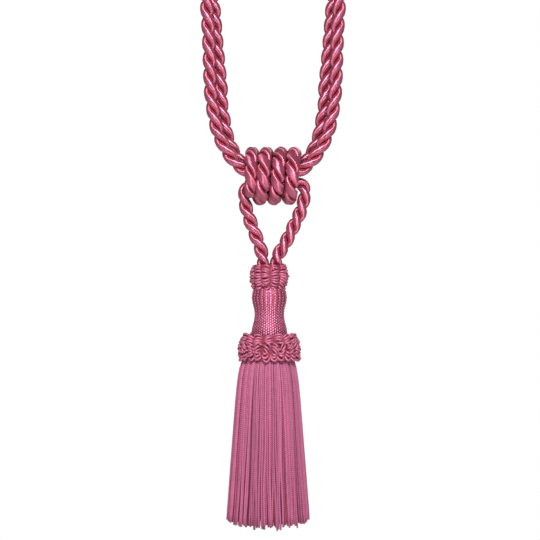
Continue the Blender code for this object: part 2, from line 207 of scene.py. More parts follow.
# Millimetres below the knot, radius
HEAD_PROFILE = (
    (64.3, 6.4),
    (65.2, 7.8),
    (66.9, 8.9),
    (69.5, 9.9),
    (72.9, 10.4),
    (76.3, 9.95),
    (79.8, 8.95),
    (83.3, 8.6),
    (87.3, 9.1),
    (91.3, 10.2),
    (97.3, 11.1),
)
SKIRT_PROFILE = (
    (104.5, 11.7),
    (112.0, 16.3),
    (122.5, 18.1),
    (134.5, 19.2),
    (158.0, 20.9),
    (210.0, 24.7),
)
# Each yarn's twist starts at its own place within this length
TWIST_OFFSET = 10 * MM
SIDE_THREAD_FOOT = -204.6 * MM
FRONT_THREAD_FOOT = -208.6 * MM
SKIRT_LEAN = 0.9 * MM
# Threads, share of the skirt's radius at the root and at the foot
THREAD_RINGS = (
    (86, 1.0, 1.0),
    (82, 0.94, 0.94),
    (72, 0.86, 0.86),
    (56, 0.74, 0.74),
    (34, 0.55, 0.56),
    (16, 0.33, 0.34),
)


class TiebackCords(bpy.types.PropertyGroup):
    strand_depth: FloatProperty(
        name="Strand depth", description="Half a strand's thickness, towards the other strand",
        default=2.1 * MM, unit="LENGTH")
    strand_width: FloatProperty(
        name="Strand width", description="Half a strand's width, along the groove",
        default=2.85 * MM, unit="LENGTH")
    pressing: FloatProperty(
        name="Pressing", description="How fully the strands meet: 1 for round, less where pressed flat",
        default=0.45, min=0.1, max=1.0)
    cresting: FloatProperty(
        name="Cresting", description="How far a strand's outside comes to a crest: 1 for round",
        default=1.2, min=1.0, max=1.6)
    front_half_lay: FloatProperty(
        name="Front half lay", description="Half a turn of the twist in the front embrace",
        default=10.1 * MM, unit="LENGTH")
    rear_half_lay: FloatProperty(
        name="Rear half lay", description="Half a turn of the twist in the rear embrace",
        default=9.45 * MM, unit="LENGTH")
    hanger_half_lay: FloatProperty(
        name="Hanger half lay", description="Half a turn of the twist in the hanger's left leg",
        default=9.2 * MM, unit="LENGTH")
    hanger_right_half_lay: FloatProperty(
        name="Right half lay", description="Half a turn of the twist in the hanger's right leg",
        default=8.47 * MM, unit="LENGTH")
    strand_sides: IntProperty(
        name="Strand sides", description="Faces round a strand", default=18, min=8)
    satin_dye: FloatVectorProperty(
        name="Satin", description="Colour of the satin strands", subtype="COLOR", size=4,
        default=(0.39, 0.088, 0.147, 1.0))
    # Painted shade: a deeper, redder colour down between the strands, where they shade each other
    groove_shade: FloatVectorProperty(
        name="Groove", description="Colour down between the strands", subtype="COLOR", size=4,
        default=(0.4, 0.06, 0.09, 1.0))


class TiebackTassel(bpy.types.PropertyGroup):
    gimp_radius: FloatProperty(
        name="Gimp radius", description="Half the thickness of the ruffs' gimp",
        default=0.74 * MM, unit="LENGTH")
    thread_radius: FloatProperty(
        name="Thread radius", description="Half the thickness of a skirt thread",
        default=0.66 * MM, unit="LENGTH")
    stitch_columns: IntProperty(
        name="Stitch columns", description="Columns of stitches round the head", default=44, min=8)
    stitch_rows: IntProperty(
        name="Stitch rows", description="Stitches from the head's top to its foot", default=21, min=4)
    gimp_dye: FloatVectorProperty(
        name="Gimp", description="Colour of the ruffs' gimp", subtype="COLOR", size=4,
        default=(0.35, 0.082, 0.146, 1.0))
    stitch_dye: FloatVectorProperty(
        name="Stitches", description="Colour of the head's stitches", subtype="COLOR", size=4,
        default=(0.44, 0.117, 0.212, 1.0))
    # Painted shade between the head's stitches: on the mould, on the stitches' inner sides and on the
    # recessed columns
    head_shade: FloatVectorProperty(
        name="Mould", description="Colour between the head's stitches", subtype="COLOR", size=4,
        default=(0.27, 0.035, 0.075, 1.0))
    # Painted shade deep in the ruffs: on the loops' feet, lightly on the picots, and all over the rings
    # under the loops
    ruff_shade: FloatVectorProperty(
        name="Shaded gimp", description="Colour deep in the ruffs",
        subtype="COLOR", size=4, default=(0.15, 0.009, 0.024, 1.0))
    thread_dye: FloatVectorProperty(
        name="Thread", description="Colour of the skirt's threads", subtype="COLOR", size=4,
        default=(0.335, 0.086, 0.172, 1.0))
    # Painted shade between the skirt's threads, on the inner rings, towards the cut ends and on the
    # collar
    thread_shade: FloatVectorProperty(
        name="Shaded thread", description="Colour between the skirt's threads", subtype="COLOR",
        size=4, default=(0.15, 0.008, 0.03, 1.0))


class TiebackStage(bpy.types.PropertyGroup):
    key_power: FloatProperty(
        name="Key light", description="Power of the wide soft light above in front", default=33.0,
        min=0.0, unit="POWER")
    front_power: FloatProperty(
        name="Front light", description="Power of the low soft light in front", default=7.0,
        min=0.0, unit="POWER")
    back_power: FloatProperty(
        name="Back light", description="Power of the soft light behind", default=8.0,
        min=0.0, unit="POWER")
    surround: FloatProperty(
        name="Surround", description="Brightness of the room round the part", default=0.34, min=0.0)
    floor_colour: FloatVectorProperty(
        name="Floor", description="Colour of the pale floor", subtype="COLOR", size=4,
        default=(0.86, 0.86, 0.86, 1.0))


# Routes of the cords

def blend(low, high, share):
    return low + (high - low) * share


def from_table(rows, where, column):
    """The value in a column at a place given in the first column, between its two rows."""
    return np.interp(where, [row[0] for row in rows], [row[column] for row in rows])


def catmull_rom(before, start, end, after, share):
    """A place between two rows of a route, on the smooth curve that also heeds their neighbours."""
    linear = end - before
    square = 2 * before - 5 * start + 4 * end - after
    cubic = 3 * start - before - 3 * end + after
    return 0.5 * (2 * start + linear * share + square * share**2 + cubic * share**3)


def smooth_route(rows, step):
    """Even stations on the smooth curve through the rows: (centres, sizes, distances)."""
    knots = [np.array((row[0] * MM, row[1] * MM, row[2] * MM, row[3])) for row in rows]
    knots = [2 * knots[0] - knots[1]] + knots + [2 * knots[-1] - knots[-2]]
    dense = []
    for before, start, end, after in zip(knots, knots[1:], knots[2:], knots[3:]):
        dense += [catmull_rom(before, start, end, after, k / CURVE_SPANS)
                  for k in range(CURVE_SPANS)]
    dense = np.array(dense + [knots[-2]])
    runs = np.linalg.norm(np.diff(dense[:, :3], axis=0), axis=1)
    along = np.concatenate(([0.0], np.cumsum(runs)))
    count = max(2, round(along[-1] / step))
    places = np.linspace(0.0, along[-1], count + 1)
    even = np.array([np.interp(places, along, dense[:, axis]) for axis in range(4)]).T
    return even[:, :3], even[:, 3], places


def twist(places, anchors, lays, hand):
    """Each station's angle of twist, with the strands side by side at both anchors."""
    first, last = anchors
    between = round((last - first) / (0.5 * (lays[0] + lays[1])))
    half_turns = np.where(
        places < first,
        (places - first) / lays[0],
        np.where(places > last, between + (places - last) / lays[1],
                 between * (places - first) / (last - first)))
    return math.pi * (0.5 + hand * half_turns)


def eye_route():
    """The bight that forms the hook eye, from the front leg over to the rear leg."""
    rows = []
    sweep = 180 + 2 * EYE_OPENING_ANGLE
    depth = FRONT_LEG[-1][1]
    centre_height = KNOT_DROP + CORD_RADIUS - EYE_RADIUS
    for k in range(EYE_STEPS + 1):
        share = k / EYE_STEPS
        angle = math.radians(180 + EYE_OPENING_ANGLE - sweep * share)
        x = EYE_CENTRE_X + EYE_RADIUS * math.cos(angle)
        height = centre_height + EYE_RADIUS * math.sin(angle)
        rows.append((x / MM, blend(depth, -depth, share), height / MM, 1.0))
    return tuple(rows)


def place_at_height(route, height, first_half):
    """The distance along one half of a route at which it passes a height."""
    centres, _, places = route
    halfway = len(places) // 2
    part = slice(0, halfway) if first_half else slice(halfway, None)
    offset = centres[part, 2] - height
    k = int(np.argmax(offset[:-1] * offset[1:] <= 0))
    return blend(places[part][k], places[part][k + 1], offset[k] / (offset[k] - offset[k + 1]))


# Meshes

class TubeBuilder:
    """Gathers closed tubes into one mesh, with a UV map along and round them and a value of painted
    shade.
    """

    def __init__(self):
        self.points = []
        self.faces = []
        self.uvs = []
        self.shades = []
        self.tones = []
        self.count = 0

    def add(self, rings, along, shades, tone):
        """rings is stations by sides by 3, along one distance a station, shades one a point."""
        stations, sides = rings.shape[:2]
        base = self.count + np.arange(stations * sides).reshape(stations, sides)
        following = np.roll(base, -1, axis=1)
        quads = np.stack((base[:-1], following[:-1], following[1:], base[1:]), axis=-1)
        self.faces += quads.reshape(-1, 4).tolist()
        turn = np.arange(sides) / sides
        near_u = np.repeat(along[:-1, None], sides, axis=1)
        far_u = np.repeat(along[1:, None], sides, axis=1)
        low_v = np.repeat(turn[None, :], stations - 1, axis=0)
        high_v = low_v + 1.0 / sides
        corners = np.stack((near_u, low_v, near_u, high_v, far_u, high_v, far_u, low_v), axis=-1)
        self.uvs.append(corners.reshape(-1, 2))
        self.faces.append(base[0, ::-1].tolist())
        self.uvs.append(np.column_stack((np.full(sides, along[0]), turn[::-1])))
        self.faces.append(base[-1].tolist())
        self.uvs.append(np.column_stack((np.full(sides, along[-1]), turn)))
        self.points.append(rings.reshape(-1, 3))
        self.shades.append(np.broadcast_to(shades, (stations, sides)).reshape(-1))
        self.tones.append(np.full(stations * sides, tone))
        self.count += stations * sides

    def piece(self, name, mirror=False):
        """The gathered tubes as one object, lowered to hang from the origin."""
        points = np.concatenate(self.points)
        points[:, 2] -= KNOT_DROP
        faces = self.faces
        uvs = np.concatenate(self.uvs)
        if mirror:
            points[:, 0] *= -1
            starts = np.cumsum([0] + [len(face) for face in faces])
            order = np.concatenate(
                [np.arange(end - 1, start - 1, -1) for start, end in zip(starts, starts[1:])])
            uvs = uvs[order]
            faces = [face[::-1] for face in faces]
        mesh = bpy.data.meshes.new(name)
        mesh.from_pydata(points.tolist(), [], faces)
        layer = mesh.uv_layers.new(name="strand")
        layer.data.foreach_set("uv", uvs.astype(np.float32).ravel())
        add_values(mesh, "painted_shade_mask", np.concatenate(self.shades))
        add_values(mesh, "tone", np.concatenate(self.tones))
        mesh.shade_smooth()
        obj = bpy.data.objects.new(name, mesh)
        bpy.context.scene.collection.objects.link(obj)
        return obj


def add_values(mesh, name, values):
    attribute = mesh.attributes.new(name, "FLOAT", "POINT")
    attribute.data.foreach_set("value", np.asarray(values, np.float32))


def unit(vectors):
    return vectors / np.linalg.norm(vectors, axis=-1, keepdims=True)


def line_frame(centres, references):
    """Tangent, normal and binormal of a line; the normal leans to the references."""
    tangents = np.empty_like(centres)
    tangents[1:-1] = centres[2:] - centres[:-2]
    tangents[0] = centres[1] - centres[0]
    tangents[-1] = centres[-1] - centres[-2]
    tangents = unit(tangents)
    normals = references - tangents * np.sum(references * tangents, axis=1, keepdims=True)
    normals = unit(normals)
    return tangents, normals, np.cross(tangents, normals)


def lay_cord(centres, sizes, angles, references, fullness=1.0):
    """The two satin strands of a cord, laid round each other."""
    settings = bpy.context.scene.tieback_cords
    _, normals, across = line_frame(centres, references)
    cosine, sine = np.cos(angles)[:, None], np.sin(angles)[:, None]
    joining = normals * cosine + across * sine
    beside = across * cosine - normals * sine
    sides = settings.strand_sides
    turn = -math.pi + 2 * math.pi * np.arange(sides) / sides
    out = settings.strand_depth * (1 + np.cos(turn))
    pressed = np.where(np.abs(turn) > math.pi / 2, settings.pressing, settings.cresting)
    aside = settings.strand_width * fullness * np.sign(turn) * np.abs(np.sin(turn)) ** pressed
    tubes = TubeBuilder()
    for side in (1, -1):
        swell = sizes * (1 + SWELLING * np.sin(np.arange(len(sizes)) * SWELLING_PACE + side))
        scale = (side * swell)[:, None, None]
        rings = centres[:, None, :] + scale * (
            out[None, :, None] * joining[:, None, :] + aside[None, :, None] * beside[:, None, :])
        crest = rings[:, sides // 2]
        along = np.concatenate(
            ([0.0], np.cumsum(np.linalg.norm(np.diff(crest, axis=0), axis=1))))
        # Painted shade mask: 0 on a strand's outer crest, 1 down where it meets the other strand
        tubes.add(rings, along, (0.5 - 0.5 * np.cos(turn))[None, :], 0.5 + STRAND_TONE * side)
    return tubes


def yarn(tubes, points, radius, sides, shades, tone, bent=False):
    """A plain round yarn along points that hang down, or that bend round a ruff's loop."""
    points = np.asarray(points)
    outward = points - np.array((TASSEL_X, 0.0, 0.0))
    outward[:, 2] = 0.0
    outward = unit(outward + 1e-9)
    if bent:
        flat = np.cross(points[-1] - points[0], points[len(points) // 2] - points[0])
        references = np.tile(flat, (len(points), 1))
    else:
        references = outward
    _, normals, across = line_frame(points, references)
    turn = 2 * math.pi * np.arange(sides) / sides
    radius = np.broadcast_to(np.asarray(radius, float), (len(points),))[:, None, None]
    rings = points[:, None, :] + radius * (
        np.cos(turn)[None, :, None] * normals[:, None, :]
        + np.sin(turn)[None, :, None] * across[:, None, :])
    along = np.concatenate(([0.0], np.cumsum(np.linalg.norm(np.diff(points, axis=0), axis=1))))
    tubes.add(rings, along + tone * TWIST_OFFSET, np.asarray(shades)[:, None], tone)


def around(radius, angle, height):
    """Points round the tassel's axis; angle 0 faces the front."""
    return np.stack(np.broadcast_arrays(
        TASSEL_X + radius * np.sin(angle), -radius * np.cos(angle), height), axis=-1)


def turned(name, profile, sides, closed_ring):
    """A turned piece, drawn up from a circle row by row: (millimetres below the knot, radius)."""
    below, radius = profile[0]
    height = -below * MM - KNOT_DROP
    bpy.ops.mesh.primitive_circle_add(
        vertices=sides, radius=radius * MM, fill_type="NOTHING" if closed_ring else "NGON",
        location=(TASSEL_X, 0.0, height))
    piece = bpy.context.active_object
    piece.name = piece.data.name = name
    bpy.ops.object.mode_set(mode="EDIT")
    bpy.ops.mesh.select_all(action="SELECT")
    for (last_below, last_radius), (below, radius) in zip(profile, profile[1:]):
        drop = -(below - last_below) * MM
        if closed_ring:
            bpy.ops.mesh.extrude_edges_move(TRANSFORM_OT_translate={"value": (0.0, 0.0, drop)})
        else:
            bpy.ops.mesh.extrude_region_move(TRANSFORM_OT_translate={"value": (0.0, 0.0, drop)})
        share = radius / last_radius
        bpy.ops.transform.resize(
            value=(share, share, 1.0), center_override=(TASSEL_X, 0.0, -below * MM - KNOT_DROP))
    bpy.ops.mesh.select_all(action="SELECT")
    bpy.ops.mesh.remove_doubles(threshold=MERGE_DISTANCE)
    bpy.ops.mesh.normals_make_consistent(inside=False)
    bpy.ops.object.mode_set(mode="OBJECT")
    bpy.ops.object.transform_apply(location=True, rotation=True, scale=True)
    bpy.ops.object.shade_smooth()
    return piece


def join(name, *pieces):
    """Makes the pieces one object under a name."""
    bpy.ops.object.select_all(action="DESELECT")
    for piece in pieces:
        piece.select_set(True)
    bpy.context.view_layer.objects.active = pieces[0]
    bpy.ops.object.join()
    joined = bpy.context.active_object
    joined.name = joined.data.name = name
    bpy.ops.object.select_all(action="DESELECT")
    return joined


# Finishes

def new_group(name, inputs, outputs):
    """An empty node group with float or colour sockets: (name, kind, default)."""
    tree = bpy.data.node_groups.new(name, "ShaderNodeTree")
    for socket, kind, default in inputs:
        made = tree.interface.new_socket(socket, in_out="INPUT", socket_type=kind)
        made.default_value = default
    for socket, kind in outputs:
        tree.interface.new_socket(socket, in_out="OUTPUT", socket_type=kind)
    return tree, tree.nodes.new("NodeGroupInput"), tree.nodes.new("NodeGroupOutput")


def math_node(tree, operation, *values):
    """A sum over numbers and sockets, as one node's output."""
    node = tree.nodes.new("ShaderNodeMath")
    node.operation = operation
    for socket, value in zip(node.inputs, values):
        if isinstance(value, (int, float)):
            socket.default_value = value
        else:
            tree.links.new(value, socket)
    return node.outputs[0]


def strand_coordinates(tree):
    """Distance along the strand, and share of a turn round it."""
    uv = tree.nodes.new("ShaderNodeUVMap")
    uv.uv_map = "strand"
    split = tree.nodes.new("ShaderNodeSeparateXYZ")
    tree.links.new(uv.outputs[0], split.inputs[0])
    return split.outputs[0], split.outputs[1]


def wrapped_yarn_group():
    """Fine turns of yarn wrapped slantwise round a strand: their relief, and an uneven fleck."""
    if "Wrapped yarn" in bpy.data.node_groups:
        return bpy.data.node_groups["Wrapped yarn"]
    tree, inside, outside = new_group(
        "Wrapped yarn",
        [("Pitch", "NodeSocketFloat", 0.0006), ("Slant", "NodeSocketFloat", 1.0),
         ("Unevenness", "NodeSocketFloat", 0.4)],
        [("Height", "NodeSocketFloat"), ("Fleck", "NodeSocketFloat")])
    along, turn = strand_coordinates(tree)
    wraps = math_node(tree, "DIVIDE", along, inside.outputs["Pitch"])
    slant = math_node(tree, "MULTIPLY", turn, inside.outputs["Slant"])
    phase = math_node(tree, "ADD", wraps, slant)
    place = tree.nodes.new("ShaderNodeCombineXYZ")
    tree.links.new(phase, place.inputs[0])
    tree.links.new(math_node(tree, "MULTIPLY", turn, 2.5), place.inputs[1])
    noise = tree.nodes.new("ShaderNodeTexNoise")
    noise.inputs["Scale"].default_value = 0.8
    noise.inputs["Detail"].default_value = 2.0
    tree.links.new(place.outputs[0], noise.inputs["Vector"])
    wave = math_node(tree, "SINE", math_node(tree, "MULTIPLY", phase, 2 * math.pi))
    wave = math_node(tree, "MULTIPLY_ADD", wave, 0.5, 0.5)
    rough = math_node(tree, "MULTIPLY", noise.outputs[0], inside.outputs["Unevenness"])
    height = math_node(tree, "MULTIPLY_ADD", wave, 0.5, rough)
    tree.links.new(height, outside.inputs["Height"])
    tree.links.new(noise.outputs[0], outside.inputs["Fleck"])
    return tree


def dye_and_shade_group():
    """A dyed colour, deepened by painted shade where the shade mask is high, with an uneven take-up of
    colour.
    """
    if "Dye and painted shade" in bpy.data.node_groups:
        return bpy.data.node_groups["Dye and painted shade"]
    tree, inside, outside = new_group(
        "Dye and painted shade",
        [("Open", "NodeSocketColor", (0.5, 0.1, 0.2, 1.0)),
         ("Sunk", "NodeSocketColor", (0.3, 0.02, 0.04, 1.0)),
         ("Depth", "NodeSocketFloat", 0.0), ("From", "NodeSocketFloat", 0.3),
         ("To", "NodeSocketFloat", 0.8), ("Fleck", "NodeSocketFloat", 0.5),
         ("Variation", "NodeSocketFloat", 0.2), ("Tone", "NodeSocketFloat", 0.5)],
        [("Color", "NodeSocketColor"), ("Sunken", "NodeSocketFloat")])
    depth = tree.nodes.new("ShaderNodeMapRange")
    depth.interpolation_type = "SMOOTHSTEP"
    tree.links.new(inside.outputs["Depth"], depth.inputs["Value"])
    tree.links.new(inside.outputs["From"], depth.inputs["From Min"])
    tree.links.new(inside.outputs["To"], depth.inputs["From Max"])
    colour = tree.nodes.new("ShaderNodeMix")
    colour.data_type = "RGBA"
    tree.links.new(depth.outputs[0], colour.inputs["Factor"])
    tree.links.new(inside.outputs["Open"], colour.inputs[6])
    tree.links.new(inside.outputs["Sunk"], colour.inputs[7])
    lift = math_node(tree, "SUBTRACT", inside.outputs["Fleck"], 0.5)
    tone = math_node(tree, "SUBTRACT", inside.outputs["Tone"], 0.5)
    lift = math_node(tree, "ADD", lift, tone)
    lift = math_node(tree, "MULTIPLY", lift, inside.outputs["Variation"])
    value = tree.nodes.new("ShaderNodeHueSaturation")
    tree.links.new(math_node(tree, "ADD", lift, 1.0), value.inputs["Value"])
    tree.links.new(colour.outputs[2], value.inputs["Color"])
    tree.links.new(value.outputs[0], outside.inputs["Color"])
    tree.links.new(depth.outputs[0], outside.inputs["Sunken"])
    return tree


def add_group(tree, group, **values):
    node = tree.nodes.new("ShaderNodeGroup")
    node.node_tree = group
    for name, value in values.items():
        node.inputs[name].default_value = value
    return node


def attribute_value(tree, name):
    node = tree.nodes.new("ShaderNodeAttribute")
    node.attribute_name = name
    return node.outputs["Fac"]


def yarn_material(name, open_dye, painted_shade_colour, depth_from, depth_to, pitch, slant, relief,
                  roughness, anisotropy, sheen, variation, unevenness=0.4, metallic=0.0,
                  specular=0.5, wrap_shade=0.0, matte_depths=False):
    """Dyed yarn: painted shade deepens its colour in the shaded places, and, if asked, in the low places
    of the wraps; the wraps catch the light.
    """
    material = bpy.data.materials.new(name)
    material.use_nodes = True
    tree = material.node_tree
    shader = tree.nodes["Principled BSDF"]
    wraps = add_group(tree, wrapped_yarn_group(), Pitch=pitch, Slant=slant, Unevenness=unevenness)
    dye_and_shade = add_group(tree, dye_and_shade_group(), Open=open_dye, Sunk=painted_shade_colour, From=depth_from, To=depth_to,
                    Variation=variation)
    # Painted shade mask: the mesh's shade value, plus shade in the low places of the wraps when asked
    painted_shade_mask = math_node(tree, "SUBTRACT", 0.5, wraps.outputs["Height"])
    painted_shade_mask = math_node(tree, "MULTIPLY_ADD", painted_shade_mask, wrap_shade, attribute_value(tree, "painted_shade_mask"))
    tree.links.new(painted_shade_mask, dye_and_shade.inputs["Depth"])
    tree.links.new(attribute_value(tree, "tone"), dye_and_shade.inputs["Tone"])
    tree.links.new(wraps.outputs["Fleck"], dye_and_shade.inputs["Fleck"])
    tree.links.new(dye_and_shade.outputs["Color"], shader.inputs["Base Color"])
    bump = tree.nodes.new("ShaderNodeBump")
    bump.inputs["Strength"].default_value = 1.0
    bump.inputs["Distance"].default_value = relief
    tree.links.new(wraps.outputs["Height"], bump.inputs["Height"])
    tree.links.new(bump.outputs[0], shader.inputs["Normal"])
    plain_values = {
        "Roughness": roughness, "Metallic": metallic, "Specular IOR Level": specular,
        "Sheen Weight": sheen, "Sheen Roughness": 0.5, "Sheen Tint": (1.0, 0.8, 0.95, 1.0)}
    for socket, value in plain_values.items():
        shader.inputs[socket].default_value = value
    if matte_depths:
        sunken = dye_and_shade.outputs["Sunken"]
        matte = math_node(tree, "MULTIPLY_ADD", sunken, MATTE_ROUGHNESS - roughness, roughness)
        tree.links.new(matte, shader.inputs["Roughness"])
        tree.links.new(math_node(tree, "MULTIPLY_ADD", sunken, -metallic, metallic),
                       shader.inputs["Metallic"])
    if anisotropy:
        shader.inputs["Anisotropic"].default_value = anisotropy
        tangent = tree.nodes.new("ShaderNodeTangent")
        tangent.direction_type = "UV_MAP"
        tangent.uv_map = "strand"
        tree.links.new(tangent.outputs[0], shader.inputs["Tangent"])
    return material


def cord_satin():
    if "cord_satin" in bpy.data.materials:
        return bpy.data.materials["cord_satin"]
    settings = bpy.context.scene.tieback_cords
    return yarn_material(
        "cord_satin", settings.satin_dye, settings.groove_shade, 0.6, 1.0, pitch=0.9 * MM,
        slant=1.0, relief=0.018 * MM, roughness=0.36, anisotropy=1.0, sheen=0.0, variation=0.2,
        unevenness=0.08, metallic=0.8, specular=1.0)


def gimp_satin():
    if "gimp_satin" in bpy.data.materials:
        return bpy.data.materials["gimp_satin"]
    settings = bpy.context.scene.tieback_tassel
    return yarn_material(
        "gimp_satin", settings.gimp_dye, settings.ruff_shade, 0.2, 0.9, pitch=0.55 * MM,
        slant=1.0, relief=0.03 * MM, roughness=0.45, anisotropy=0.8, sheen=0.0, variation=0.3,
        metallic=0.5, specular=0.5, matte_depths=True)


def skirt_yarn():
    settings = bpy.context.scene.tieback_tassel
    # The threads' twist gets painted shade in its low places
    return yarn_material(
        "skirt_yarn", settings.thread_dye, settings.thread_shade, 0.1, 0.9, pitch=1.25 * MM,
        slant=2.0, relief=0.16 * MM, roughness=0.62, anisotropy=0.0, sheen=0.05, variation=0.4,
        specular=0.35, wrap_shade=2.2)


def head_satin():
    settings = bpy.context.scene.tieback_tassel
    return yarn_material(
        "head_satin", settings.stitch_dye, settings.head_shade, 0.35, 0.95, pitch=0.5 * MM,
        slant=1.0, relief=0.03 * MM, roughness=0.4, anisotropy=0.0, sheen=0.0, variation=0.2,
        metallic=0.7, specular=1.0)


# Fitting to the frame

def fit(piece, node, material):
    """Gives a piece its finish and its place on the frame instead of a node."""
    piece.data.materials.clear()
    piece.data.materials.append(material)
    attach(piece, "root")
    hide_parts(node)


def declare_cord(centres, mirror=False):
    """Lowers, and mirrors if asked, a copy of a cord's route; nothing is kept."""
    path = np.array(centres)
    path[:, 2] -= KNOT_DROP
    if mirror:
        path[:, 0] *= -1


# Operators for the stage and for the pieces

class TIEBACK_OT_stage(bpy.types.Operator):
    """Stands the camera, the soft lights, the pale floor and the white surround round the part"""
    bl_idname = "tieback.stage"
    bl_label = "Stage"

    def execute(self, context):
        settings = context.scene.tieback_stage
        self.add_camera(context)
        self.add_light("key_light", *KEY_LIGHT, settings.key_power)
        self.add_light("front_light", *FRONT_LIGHT, settings.front_power)
        self.add_light("back_light", *BACK_LIGHT, settings.back_power)
        self.add_surround(context, settings)
        self.add_floor(settings)
        return {"FINISHED"}

    def add_camera(self, context):
        camera = bpy.data.cameras.new("camera")
        camera.lens = CAMERA_LENS_MM
        camera.sensor_width = CAMERA_SENSOR_MM
        camera.clip_end = CAMERA_REACH
        holder = bpy.data.objects.new("camera", camera)
        holder.location = CAMERA_PLACE
        holder.rotation_euler = (math.pi / 2, 0.0, 0.0)
        context.scene.collection.objects.link(holder)
        context.scene.camera = holder
        context.scene.view_settings.view_transform = "Standard"

    def add_light(self, name, place, size, power):
        light = bpy.data.lights.new(name, "AREA")
        light.shape = "RECTANGLE"
        light.size, light.size_y = size
        light.energy = power
        holder = bpy.data.objects.new(name, light)
        holder.location = place
        aim = Vector(LIGHT_AIM) - Vector(place)
        holder.rotation_euler = aim.to_track_quat("-Z", "Y").to_euler()
        bpy.context.scene.collection.objects.link(holder)

    def add_surround(self, context, settings):
        world = bpy.data.worlds.new("surround")
        world.use_nodes = True
        tree = world.node_tree
        background = tree.nodes["Background"]
        seen = tree.nodes.new("ShaderNodeBackground")
        seen.inputs["Color"].default_value = WHITE
        background.inputs["Color"].default_value = WHITE
        background.inputs["Strength"].default_value = settings.surround
        mix = tree.nodes.new("ShaderNodeMixShader")
        path = tree.nodes.new("ShaderNodeLightPath")
        tree.links.new(path.outputs["Is Camera Ray"], mix.inputs["Fac"])
        tree.links.new(background.outputs[0], mix.inputs[1])
        tree.links.new(seen.outputs[0], mix.inputs[2])
        tree.links.new(mix.outputs[0], tree.nodes["World Output"].inputs["Surface"])
        context.scene.world = world

    def add_floor(self, settings):
        bpy.ops.object.select_all(action="DESELECT")
        bpy.ops.mesh.primitive_circle_add(
            vertices=FLOOR_SIDES, radius=FLOOR_RADIUS, fill_type="NGON",
            location=(0.0, 0.0, FLOOR_HEIGHT))
        floor = bpy.context.active_object
        floor.name = "floor"
        bpy.ops.object.transform_apply(location=True)
        material = bpy.data.materials.new("floor")
        material.use_nodes = True
        shader = material.node_tree.nodes["Principled BSDF"]
        shader.inputs["Base Color"].default_value = settings.floor_colour
        shader.inputs["Roughness"].default_value = MATTE_ROUGHNESS
        floor.data.materials.append(material)
        bpy.ops.object.select_all(action="DESELECT")


class TIEBACK_OT_embrace(bpy.types.Operator):
    """Lays the two doubled cords of the embrace, the right one the mirror image of the left"""
    bl_idname = "tieback.embrace"
    bl_label = "Embrace cords"

    def execute(self, context):
        settings = context.scene.tieback_cords
        rows = FRONT_LEG + eye_route() + REAR_LEG
        centres, sizes, places = route = smooth_route(rows, EMBRACE_STEP)
        anchors = [place_at_height(route, EMBRACE_ANCHOR, half) for half in (True, False)]
        angles = twist(places, anchors, (settings.front_half_lay, settings.rear_half_lay), S_LAY)
        backwards = np.tile((0.0, 1.0, 0.0), (len(centres), 1))
        for side, mirror in (("left", False), ("right", True)):
            tubes = lay_cord(centres, sizes, angles, backwards)
            piece = tubes.piece(f"satin_embrace_{side}", mirror)
            fit(piece, f"embrace_cord_{side}", cord_satin())
            declare_cord(centres, mirror)
        return {"FINISHED"}


class TIEBACK_OT_hanger(bpy.types.Operator):
    """Lays the hanger from the head's top up through the knot and down again"""
    bl_idname = "tieback.hanger"
    bl_label = "Hanger cord"

    def execute(self, context):
        settings = context.scene.tieback_cords
        lays = (settings.hanger_half_lay, settings.hanger_right_half_lay)
        centres, sizes, places = route = smooth_route(HANGER_ROUTE, KNOT_STEP)
        anchors = [place_at_height(route, HANGER_LEFT_ANCHOR, True),
                   place_at_height(route, HANGER_RIGHT_ANCHOR, False)]
        angles = twist(places, anchors, lays, S_LAY)
        backwards = np.tile((0.0, 1.0, 0.0), (len(centres), 1))
        piece = lay_cord(centres, sizes, angles, backwards).piece("satin_hanger")
        fit(piece, "hanger_cord", cord_satin())
        declare_cord(centres)
        return {"FINISHED"}


class TIEBACK_OT_binding(bpy.types.Operator):
    """Winds the binding cord round the embrace and the hanger"""
    bl_idname = "tieback.binding"
    bl_label = "Binding cord"

    def execute(self, context):
        first, last = BINDING_ROUTE[0][0], BINDING_ROUTE[-1][0]
        length = math.radians(last - first) * BINDING_PATH_RADIUS
        count = round(length / KNOT_STEP)
        turns = np.linspace(first, last, count + 1)
        sizes = from_table(BINDING_ROUTE, turns, 2)
        radians = np.radians(turns)
        outward = np.column_stack((np.zeros(count + 1), -np.sin(radians), np.cos(radians)))
        centres = outward * BINDING_PATH_RADIUS
        centres[:, 0] = from_table(BINDING_ROUTE, turns, 1) * MM
        angles = math.pi * (0.5 - from_table(BINDING_TWIST, turns, 1))
        piece = lay_cord(centres, sizes, angles, outward, BINDING_FULLNESS).piece("satin_binding")
        fit(piece, "binding_cord", cord_satin())
        declare_cord(centres)
        return {"FINISHED"}


def gimp_loop(tubes, chance, angle, height, radii, half_width, rise, lean, gimp):
    """One loop of gimp that bows out of a ruff and dives back in at both its ends.

    radii are its foot's and crest's, rise is how far the crest stands above the feet, and lean
    turns it on the ruff's face."""
    turn = np.linspace(-LOOP_REACH, LOOP_REACH, LOOP_POINTS)
    aside = half_width * np.sin(turn)
    up = rise * np.cos(turn)
    radius = blend(radii[0], radii[1], np.clip(np.cos(turn), LOOP_DIVE, 1.0))
    across = aside * math.cos(lean) - up * math.sin(lean)
    tall = aside * math.sin(lean) + up * math.cos(lean)
    points = around(radius, angle + across / radii[1], height + tall)
    # Painted shade: the loop darkens towards its feet, where it dives into the ruff
    shades = np.clip(0.95 - 1.1 * np.cos(turn), 0.0, 1.0)
    yarn(tubes, points, gimp, GIMP_SIDES, shades, chance.random(), bent=True)


